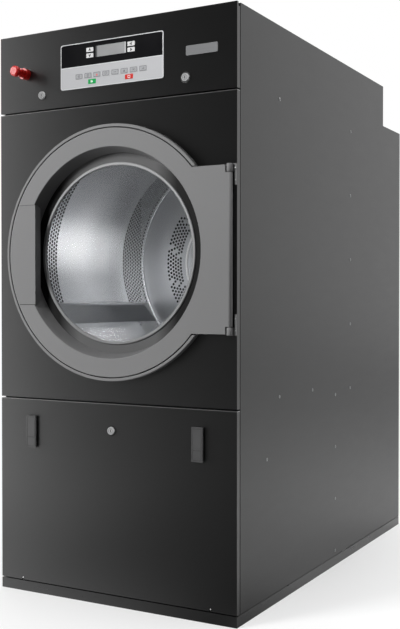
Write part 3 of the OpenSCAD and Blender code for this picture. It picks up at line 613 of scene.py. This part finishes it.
def frame_outline(bm, outer, inner, y_low, y_high):
    """A flat closed frame between two outlines with the same number of points."""
    loops = [[bm.verts.new((x, y, z)) for x, z in pts]
             for pts, y in ((outer, y_low), (outer, y_high), (inner, y_high), (inner, y_low))]
    bridge(bm, loops + loops[:1])


def bar(bm, a, b, r, n=6):
    """A straight round bar with closed ends."""
    a, b = Vector(a), Vector(b)
    turn = (b - a).to_track_quat("Z", "Y").to_matrix()
    rings = [[bm.verts.new(p + turn @ Vector((x, y, 0))) for x, y in circle(0, 0, r, n)] for p in (a, b)]
    bridge(bm, rings)
    bm.faces.new(rings[0])
    bm.faces.new(rings[1][::-1])


def screw(bm, place, out, r=5 * MM, high=2.2 * MM):
    """A domed head with a hexagon socket, standing on a surface that faces out."""
    turn = Vector(out).to_track_quat("Z", "Y").to_matrix()
    place = Vector(place)
    n = 24

    def row(radius, z, hexagon=False):
        row_points = []
        for i in range(n):
            a = math.tau * i / n
            k = math.cos(math.pi / 6) / math.cos((a % (math.pi / 3)) - math.pi / 6) if hexagon else 1.0
            spot = Vector((radius * k * math.cos(a), radius * k * math.sin(a), z))
            row_points.append(bm.verts.new(place + turn @ spot))
        return row_points

    rows = [row(r, 0), row(r, high * 0.3), row(r * 0.94, high * 0.58), row(r * 0.8, high * 0.84),
            row(r * 0.62, high), row(r * 0.44, high, True), row(r * 0.42, high * 0.93, True),
            row(r * 0.42, high * 0.3, True)]
    bridge(bm, rows)
    bm.faces.new(rows[-1])
    bm.faces.new(rows[0][::-1])


# ---- sheet metal with rounded folds -----------------------------------------------------------

for name, width in (
    ("control_fascia", 0.7), ("door_panel", 0.7), ("service_door", 0.7), ("side_panel_left", 0.5),
    ("side_panel_right", 0.5), ("top_panel", 0.5), ("rear_cover", 0.5), ("base_plinth", 0.9),
    ("control_box", 0.8), ("lifters", 0.8), ("hinge_brackets", 0.6), ("pull_handles", 0.4),
    ("door_ring", 0.9),
):
    soften(name, width * MM)

# ---- drum -------------------------------------------------------------------------------------


def cell(bm, border, centre, along, across, depth, radius):
    """One cell of perforated sheet: a round hole, with its wall, inside eight border vertices."""
    hole, rim = [], []
    for i in range(8):
        a = math.tau * i / 8
        p = centre + along * (radius * math.cos(a)) + across * (radius * math.sin(a))
        hole.append(bm.verts.new(p))
        rim.append(bm.verts.new(p + depth))
    for i in range(8):
        j = (i + 1) % 8
        bm.faces.new((border[i], border[j], hole[j], hole[i]))
        bm.faces.new((hole[i], hole[j], rim[j], rim[i]))


def perforated(bm, place, rows, columns, radius, blank=lambda row, col: False):
    """Rows of staggered cells. place(u, v) gives a point and the outward depth there, with u in cells
    round the axis and v in rows. Returns the two edge rings, of two vertices to a cell."""
    rings = []
    for row in range(rows + 1):
        rings.append([bm.verts.new(place(k / 2, row)[0]) for k in range(2 * columns)])
    for row in range(rows):
        shift = row % 2
        low, high = rings[row], rings[row + 1]
        uprights = [bm.verts.new(place(col + shift / 2, row + 0.5)[0]) for col in range(columns)]
        for col in range(columns):
            first = 2 * col + shift
            ids = [first % (2 * columns), (first + 1) % (2 * columns), (first + 2) % (2 * columns)]
            right = uprights[(col + 1) % columns]
            border = [right, high[ids[2]], high[ids[1]], high[ids[0]], uprights[col],
                      low[ids[0]], low[ids[1]], low[ids[2]]]
            centre, depth = place(col + shift / 2 + 0.5, row + 0.5)
            if blank(row, col):
                bm.faces.new(border)
                continue
            along = (right.co - uprights[col].co).normalized()
            across = ((high[ids[0]].co + high[ids[2]].co) - (low[ids[0]].co + low[ids[2]].co)).normalized()
            cell(bm, border, centre, along, across, depth, radius)
    return rings[0], rings[-1]


def drum_wall():
    bm = bmesh.new()
    columns, rows = 192, 11
    pitch = 11.4 * MM
    hole = 4.8 * MM

    def wall(start):
        def place(u, v):
            a = math.tau * u / columns
            out = Vector((math.cos(a), 0, math.sin(a)))
            return Vector((axis.x, start + v * pitch, axis.z)) + out * drum_r, out * sheet
        return place

    front_band = drum_front + 30 * MM
    rear_band = back_face - 16 * MM - rows * pitch
    a0, a1 = perforated(bm, wall(front_band), rows, columns, hole)
    b0, b1 = perforated(bm, wall(rear_band), rows, columns, hole)
    n = 2 * columns
    fillet = 4 * MM
    front = [ring(bm, axis, r, y, n) for r, y in (
        (drum_r - 60 * MM, drum_front + 12 * MM), (drum_r - 64 * MM, drum_front + 11 * MM),
        (drum_r - 67 * MM, drum_front + 8 * MM), (drum_r - 66 * MM, drum_front + 3 * MM),
        (drum_r - 60 * MM, drum_front + sheet), (drum_r - fillet, drum_front + sheet),
        (drum_r - fillet * 0.3, drum_front + sheet + fillet * 0.3), (drum_r, drum_front + sheet + fillet))]
    bridge(bm, front + [a0])
    mid_low, mid_high = a1[0].co.y, b0[0].co.y
    mids = [ring(bm, axis, drum_r, mid_low + (mid_high - mid_low) * k / 6, n) for k in range(1, 6)]
    bridge(bm, [a1] + mids + [b0])
    # rolled joint to the back plate
    rear = [ring(bm, axis, drum_r - r * MM, back_face - y * MM, n)
            for r, y in ((0, 7), (0.9, 6.4), (2.2, 5.2), (2.8, 3.4), (2.4, 1.6), (1.0, 0.5), (0, 0.2))]
    outer = [ring(bm, axis, drum_r + sheet, y, n) for y in (back_high.y, back_face - 30 * MM)]
    bridge(bm, [b1] + rear + outer)
    new_piece("drum_wall", bm, "drum", materials["drum_steel"], ("drum_shell",), front=axis)


def drum_back():
    bm = bmesh.new()
    columns, rows = 114, 6
    inner, outer = 206 * MM, 268 * MM

    def place(u, v):
        a = math.tau * u / columns
        out = Vector((math.cos(a), 0, math.sin(a)))
        radius = inner + (outer - inner) * v / rows
        return Vector((axis.x, back_face, axis.z)) + out * radius, Vector((0, sheet, 0))

    low, high = perforated(bm, place, rows, columns, 4.7 * MM, lambda row, col: (col + row // 2) % 9 == 0)
    n = 2 * columns

    def rings(profile):
        return [ring(bm, axis, r * MM, back_face + y * MM, n) for r, y in profile]

    edge = drum_r / MM - 0.5
    hub = [(30, -6), (60, -6), (120, -6), (170, -6), (176, -6), (178.5, -5.2), (180.4, -3.6),
           (181.6, -1.4), (184, -0.3), (190, 0)]
    bridge(bm, rings(hub) + [low])
    bridge(bm, [high] + rings([(280, 0), (310, 0), (340, 0), (edge, 0)]))
    bridge(bm, rings([(edge, 2), (262, 2)]))
    new_piece("drum_back", bm, "drum", materials["plate_steel"], ("drum_rear_plate",),
              front=axis)


def hub_rim():
    """The bead round the hub, near white as a painted highlight."""
    bm = bmesh.new()
    bead, r = 186 * MM, 4.5 * MM
    lathe(bm, axis, [(bead + r * math.cos(math.tau * k / 12), back_face - r * math.sin(math.tau * k / 12))
                     for k in range(12)], n=180, closed=True)
    new_piece("hub_rim", bm, "drum", glint_white)


drum_wall()
drum_back()
hub_rim()

# ---- screws -----------------------------------------------------------------------------------


def screw_centres():
    """Side and middle of each head, from the loose parts of the CAD node."""
    bm = bmesh.new()
    bm.from_mesh(nodes["side_screws"].data)
    bmesh.ops.remove_doubles(bm, verts=bm.verts, dist=1e-5)
    left, found = set(bm.verts), []
    while left:
        stack, part = [left.pop()], []
        while stack:
            v = stack.pop()
            part.append(v.co.copy())
            for e in v.link_edges:
                w = e.other_vert(v)
                if w in left:
                    left.remove(w)
                    stack.append(w)
        ys, zs = [p.y for p in part], [p.z for p in part]
        side = 1 if part[0].x > 0 else -1
        found.append((side, (min(ys) + max(ys)) / 2, (min(zs) + max(zs)) / 2))
    bm.free()
    return sorted(set((s, round(y, 4), round(z, 4)) for s, y, z in found))


side_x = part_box("side_panel_right")[1].x
bm = bmesh.new()
for side, y, z in screw_centres():
    screw(bm, (side * side_x, y, z), (side, 0, 0), 5 * MM, 1.4 * MM)
new_piece("side_screw_heads", bm, "cabinet", screw_metal, ("side_screws",))

backward, upward = (0, 1, 0), (0, 0, 1)
cover_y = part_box("rear_cover")[1].y
top_low, top_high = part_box("top_panel")
edge_x = 0.375
across = (-edge_x, -0.13, 0.13, edge_x)
cover_bottom, cover_top, top_flange = 0.05, 1.485, 1.63
bm = bmesh.new()
for x in across:
    screw(bm, (x, cover_y, cover_bottom), backward)
    screw(bm, (x, cover_y, cover_top), backward)
for z in (0.4, 0.76, 1.12):
    for x in (-edge_x, edge_x):
        screw(bm, (x, cover_y, z), backward)
for x in across:
    screw(bm, (x, top_high.y, top_flange), backward)
    screw(bm, (x, top_high.y - 0.03, top_high.z), upward)
    screw(bm, (x, top_low.y + 0.04, top_high.z), upward)
new_piece("cover_screws", bm, "cabinet", screw_metal)

bm = bmesh.new()
hinge_low, hinge_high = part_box("hinge_brackets")
insets = (0.012, 0.044)
for z in [hinge_high.z - d for d in insets] + [hinge_low.z + d for d in insets]:
    screw(bm, (side_x - 3.2 * MM, panel_y - 3 * MM, z), (0, -1, 0), 2.6 * MM, 1.2 * MM)
new_piece("hinge_screws", bm, "cabinet", screw_metal)

# ---- small fittings of the front --------------------------------------------------------------


def lock_details(name, panel):
    """A black ring on the panel round the lock, as its painted shadow, and the rim and key slot that turn
    with the lock.
    """
    low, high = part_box(name)
    radius = (high.z - low.z) / 2
    head = Vector((low.x + radius, low.y, (low.z + high.z) / 2))
    bm = bmesh.new()
    # Painted shadow: a black ring round the lock head on the panel.
    lathe(bm, head, [(r * MM, panel_y + y * MM) for r, y in
                     ((10.6, -0.1), (14.8, -0.1), (15.2, -0.5), (14.8, -0.9), (10.6, -0.9))],
          n=48, closed=True)
    new_piece(name + "_shade_ring", bm, body_of[panel], materials["seal_rubber"])
    bm = bmesh.new()
    lathe(bm, head, [(r * MM, head.y + y * MM) for r, y in
                     ((6.3, 0.05), (7.0, 0.05), (7.0, -0.12), (6.3, -0.12))], n=48, closed=True)
    outline(bm, rounded(2.4 * MM, 8.4 * MM, 0.8 * MM, head.x, head.z), head.y - 0.1 * MM, head.y + 0.3 * MM)
    new_piece(name + "_slot", bm, body_of[name], materials["seal_rubber"])


lock_details("upper_lock_left", "control_fascia")
lock_details("upper_lock_right", "control_fascia")
lock_details("lower_lock", "service_door")


def pull_marks():
    """The parting lines of the two pull handles."""
    low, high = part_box("pull_handles")
    width = 34 * MM
    proud = 0.15 * MM
    bm = bmesh.new()
    for x in (low.x + width / 2, high.x - width / 2):
        z = (low.z + high.z) / 2
        size = (width - 7 * MM, high.z - low.z - 8 * MM)
        frame_outline(bm, rounded(size[0], size[1], 2 * MM, x, z),
                      rounded(size[0] - 2 * MM, size[1] - 2 * MM, 1.2 * MM, x, z),
                      low.y - proud, low.y + proud)
        outline(bm, rounded(size[0] - 2 * MM, 1.4 * MM, 0.5 * MM, x, z - 16 * MM),
                low.y - proud, low.y + proud)
    new_piece("pull_marks", bm, body_of["pull_handles"], materials["seal_rubber"])


def handle_seams():
    """The dark joints above and below the handle insert."""
    low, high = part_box("door_handle")
    proud = 0.15 * MM
    seam_r = 347 * MM  # where the seams end on the left, from the axis
    bm = bmesh.new()
    for z, thick in ((low.z, 1.8 * MM), (high.z, 1.0 * MM)):
        left = axis.x - math.sqrt(seam_r ** 2 - (z - axis.z) ** 2)
        right = high.x
        outline(bm, rounded(right - left, thick, 0.4 * MM, (left + right) / 2, z),
                ring_front - proud, ring_front + proud)
    new_piece("handle_seams", bm, body_of["door_ring"], materials["seal_rubber"])


def pivot_caps():
    """The ends of the service door's pivots, near white as a painted glint, in the gap above the plinth."""
    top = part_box("base_plinth")[1].z
    pivot_x = 318 * MM
    bm = bmesh.new()
    for x in (-pivot_x, pivot_x):
        place = Vector((x, 0, top + 1.2 * MM))
        lathe(bm, place, [(r * MM, panel_y + y * MM) for r, y in
                          ((0.1, -0.6), (1.3, -0.5), (1.9, 0.0), (2.0, 3.0), (0.1, 3.0))],
              n=20, closed=True)
    new_piece("pivot_caps", bm, "cabinet", glint_white)


pull_marks()
handle_seams()
pivot_caps()

# ---- keypad legends -----------------------------------------------------------------------------

PRINT = 0.12 * MM


def legend(node, draw, material, suffix="_legend"):
    middle, face = box_middle(node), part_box(node)[0].y
    bm = bmesh.new()
    draw(bm, middle.x, middle.z, face - PRINT, face + PRINT)
    new_piece(node + suffix, bm, body_of[node], material)


def triangle(angle):
    def draw(bm, x, z, y0, y1):
        r = 5.7 * MM
        turns = [angle + k * math.tau / 3 for k in range(3)]
        outline(bm, [(x + r * math.cos(a), z + r * math.sin(a)) for a in turns], y0, y1)
    return draw


for node, angle in (("key_up", 90), ("key_down", 270), ("key_left", 180), ("key_right", 0)):
    legend(node, triangle(math.radians(angle)), ink)


def play(bm, x, z, y0, y1):
    bar_w, r = 1.3 * MM, 3.6 * MM
    left, right = x - 4.2 * MM, x + 4.2 * MM
    outline(bm, [(left, z - r), (left + bar_w, z - r), (left + bar_w, z + r), (left, z + r)], y0, y1)
    outline(bm, [(x - 1.6 * MM, z - r), (right, z), (x - 1.6 * MM, z + r)], y0, y1)


def stop_mark(bm, x, z, y0, y1):
    frame_outline(bm, rounded(8 * MM, 8 * MM, 1 * MM, x, z),
                  rounded(5.6 * MM, 5.6 * MM, 0.6 * MM, x, z), y0, y1)


legend("start_key", play, ink_white)
legend("stop_key", stop_mark, ink_white)


def disc(bm, x, z, r, y0, y1, n=20, inner=None):
    if inner is None:
        outline(bm, circle(x, z, r, n), y0, y1)
    else:
        frame_outline(bm, circle(x, z, r, n), circle(x, z, inner, n), y0, y1)


def program_mark(index):
    """Simple generic marks: rings, bars, dots and squares."""
    def draw(bm, x, z, y0, y1):
        u = MM
        frame_outline(bm, rounded(22.8 * u, 13 * u, 2.6 * u, x, z),
                      rounded(20.8 * u, 11 * u, 1.8 * u, x, z), y0, y1)
        if index == 2:
            return
        if index == 0:
            disc(bm, x, z, 3.6 * u, y0, y1, inner=2.7 * u)
            disc(bm, x, z, 1.2 * u, y0, y1)
        elif index == 1:
            for k in (-1, 0, 1):
                outline(bm, rounded(8 * u, 1.1 * u, 0.5 * u, x, z + 2.6 * u * k, 2), y0, y1)
        elif index == 3:
            frame_outline(bm, rounded(7 * u, 7 * u, 0.8 * u, x, z),
                          rounded(5.4 * u, 5.4 * u, 0.5 * u, x, z), y0, y1)
        elif index == 4:
            for k in (-1, 0, 1):
                disc(bm, x + 3 * u * k, z, 1.1 * u, y0, y1, 14)
        elif index == 5:
            outline(bm, [(x - 4 * u, z - 3 * u), (x + 4 * u, z - 3 * u), (x, z + 3.6 * u)], y0, y1)
        elif index == 6:
            for k in (-1, 1):
                disc(bm, x + 2.2 * u * k, z, 2.5 * u, y0, y1, inner=1.7 * u)
        else:
            for k in range(4):
                h = (2 + 1.5 * k) * u
                outline(bm, rounded(1.3 * u, h, 0.3 * u, x + (k - 1.5) * 2.4 * u,
                                    z - 3.2 * u + h / 2, 2), y0, y1)
    return draw


for i in range(8):
    legend(f"program_key_{i + 1}", program_mark(i), ink_grey)


def red_mark(bm, x, z, y0, y1):
    outline(bm, [(x - 3 * MM, z - 3.4 * MM), (x + 3 * MM, z - 3.4 * MM), (x, z + 3 * MM)], y0, y1)


legend("program_key_3", red_mark, ink_red, suffix="_red")

# ---- lint screen --------------------------------------------------------------------------------


def frame_outline_xy(bm, x0, x1, y0, y1, w, z0, z1):
    """A flat closed frame of width w, lying level."""
    outer = [(x0, y0), (x1, y0), (x1, y1), (x0, y1)]
    inner = [(x0 + w, y0 + w), (x1 - w, y0 + w), (x1 - w, y1 - w), (x0 + w, y1 - w)]
    loops = [[bm.verts.new((x, y, z)) for x, y in pts]
             for pts, z in ((outer, z0), (outer, z1), (inner, z1), (inner, z0))]
    bridge(bm, loops + loops[:1])


def lint_screen():
    """Woven wire on the drawer's windows."""
    low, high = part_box("lint_drawer")
    bm = bmesh.new()
    height = low.z + 10.4 * MM
    side_inset, front_inset, back_inset = 24 * MM, 32 * MM, 5 * MM
    x0, x1 = low.x + side_inset, high.x - side_inset
    y0, y1 = low.y + front_inset, high.y - back_inset
    step, wire_r, crossing = 7 * MM, 0.45 * MM, 0.8 * MM
    for k in range(int((x1 - x0) / step) + 1):
        x = x0 + k * step
        bar(bm, (x, y0, height), (x, y1, height), wire_r, 5)
    for k in range(int((y1 - y0) / step) + 1):
        y = y0 + k * step
        bar(bm, (x0, y, height + crossing), (x1, y, height + crossing), wire_r, 5)
    frame_outline_xy(bm, x0 - 6 * MM, x1 + 6 * MM, y0 - 4 * MM, y1 + 3 * MM, 8 * MM,
                     height - 0.4 * MM, height + 1.6 * MM)
    new_piece("lint_screen", bm, "drawer", materials["trim_steel"])


lint_screen()

# ---- floor --------------------------------------------------------------------------------------


def floor_paint():
    """A pale floor that fades into the white background. In front of the machine it throws less
    light back than it shows."""
    p = Paint("floor_paint")
    tone = p.noise(p.coords, 1.3, 3.0)
    x, y = p.axes()[:2]
    seen = p.tree.nodes.new("ShaderNodeLightPath").outputs["Is Camera Ray"]
    pale = p.blend(tone, (0.88, 0.88, 0.88), (0.9, 0.9, 0.9))
    behind = p.spread(y, -0.9, -0.2, 0, 1)
    left = p.math("MULTIPLY", p.spread(x, -0.35, -1.2, 0, 1), p.spread(y, -2.4, -1.9, 0, 1))
    thrown = p.blend(p.math("MAXIMUM", behind, left), (0.08, 0.08, 0.08), pale)
    away = p.length(x, y)
    fade = p.math("MULTIPLY", p.spread(away, 0.3, 1.5, 0.25, 1), seen)
    # the floor glows to the left of the machine for all but camera rays: painted light that only the black
    # front reflects
    near = p.math("MULTIPLY", p.spread(x, 0.3, -0.7, 0, 1.5), p.spread(y, -1.3, -0.6, 0, 1))
    sweep = p.math("MULTIPLY", near, p.math("SUBTRACT", 1, seen))
    p.shader.inputs["Emission Color"].default_value = (1, 1, 1, 1)
    p.tree.links.new(p.math("ADD", fade, sweep), p.shader.inputs["Emission Strength"])
    shown = p.blend(fade, p.blend(seen, thrown, pale), (0.0, 0.0, 0.0))
    return p.finish(shown, p.spread(tone, 0, 1, 0.7, 0.8), Specular_IOR_Level=0.0)


bm = bmesh.new()
half, segments = 12.0, 24
floor_z = cad_low.z - 0.2 * MM
steps = [-half + 2 * half * i / segments for i in range(segments + 1)]
grid = [[bm.verts.new((x, y, floor_z)) for x in steps] for y in steps]
bridge(bm, grid, closed=False)
mesh = bpy.data.meshes.new("floor")
bm.to_mesh(mesh)
bm.free()
floor = bpy.data.objects.new("floor", mesh)
mesh.materials.append(floor_paint())
scene.collection.objects.link(floor)

bpy.context.view_layer.update()
